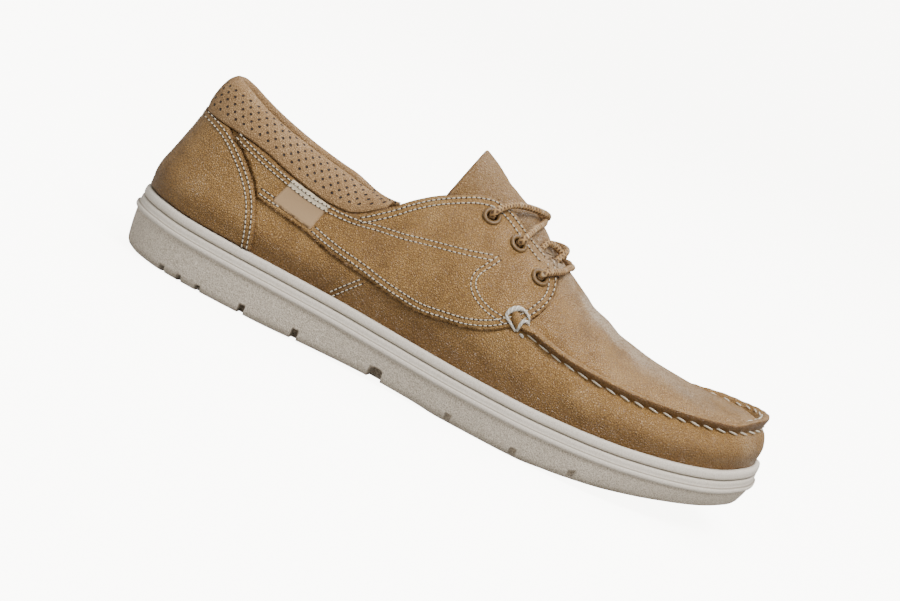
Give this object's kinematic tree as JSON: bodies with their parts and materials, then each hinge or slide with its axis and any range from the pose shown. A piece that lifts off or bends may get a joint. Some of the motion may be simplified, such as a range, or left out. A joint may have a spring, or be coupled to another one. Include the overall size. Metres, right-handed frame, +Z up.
{
  "type": "boat shoe",
  "caption": "Low leather boat shoe for the right foot: moccasin upper with a raised toe seam, side quarters, heel counter, padded collar, laced tongue and a pale cup sole.",
  "frame": {"origin": "middle of the footprint's bounding box, on the floor under the sole", "axes": "+X to the toe, +Y to the inner side of the foot, +Z up"},
  "size_m": [0.292, 0.1064, 0.1055],
  "materials": {
    "sole_rubber": "matt, fine grained",
    "upper_leather": "oiled, worn",
    "collar_leather": "soft, perforated",
    "lining_leather": "matt",
    "label_cloth": "woven",
    "eyelet_enamel": "enamel, worn",
    "lace_cord": "braided, waxed",
    "tie_cord": "twisted"
  },
  "bodies": {
    "root": {"sole": "sole_rubber", "insole": "lining_leather", "upper": "upper_leather", "tongue": "upper_leather", "heel_counter": "upper_leather", "quarter_lateral": "upper_leather", "quarter_medial": "upper_leather", "collar": "collar_leather", "moc_seam": "upper_leather", "label": "label_cloth", "eyelet_lateral_1": "eyelet_enamel", "eyelet_lateral_2": "eyelet_enamel", "eyelet_lateral_3": "eyelet_enamel", "eyelet_medial_1": "eyelet_enamel", "eyelet_medial_2": "eyelet_enamel", "eyelet_medial_3": "eyelet_enamel", "lace_bar": "lace_cord", "lace_cross_front": "lace_cord", "lace_cross_rear": "lace_cord", "seam_tie_lateral": "tie_cord", "seam_tie_medial": "tie_cord"}
  },
  "joints": []
}
